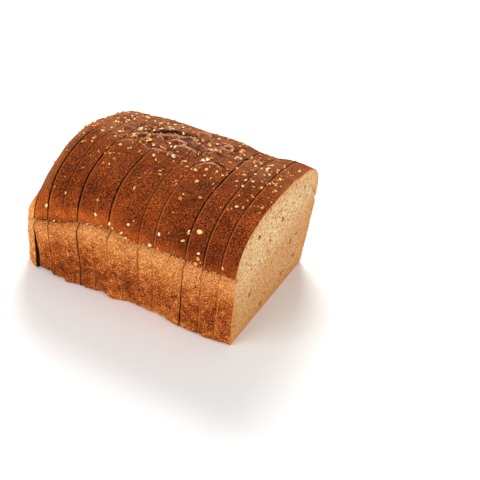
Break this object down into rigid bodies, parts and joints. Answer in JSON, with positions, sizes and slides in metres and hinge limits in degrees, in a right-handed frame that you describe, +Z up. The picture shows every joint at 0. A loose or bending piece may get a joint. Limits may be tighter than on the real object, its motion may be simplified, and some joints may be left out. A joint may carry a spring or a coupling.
{
  "type": "sliced sandwich loaf",
  "caption": "Standing sliced pan loaf of multigrain bread: flared pan walls, recessed crease, domed crust with baked-in oat flakes, and a rounded heel.",
  "frame": {"origin": "middle of the bounding box, on the plane the loaf rests on", "axes": "+X along the loaf towards the cut front face, with the heel at -X; +Y across the loaf; +Z up through the domed top"},
  "size_m": [0.157, 0.1278, 0.0944],
  "materials": {
    "bread": "baked brown crust round a pale speckled crumb, with cream oat flakes",
    "heel_crust": "baked crust, lighter than the top"
  },
  "bodies": {
    "root": {"slice_01": "bread", "slice_02": "bread", "slice_03": "bread", "slice_04": "bread", "slice_05": "bread", "slice_06": "bread", "slice_07": "bread", "slice_08": "bread", "slice_09": "bread", "slice_10": "bread", "slice_11": "bread", "slice_12": "bread", "slice_13": "bread", "heel": "heel_crust"}
  },
  "joints": []
}
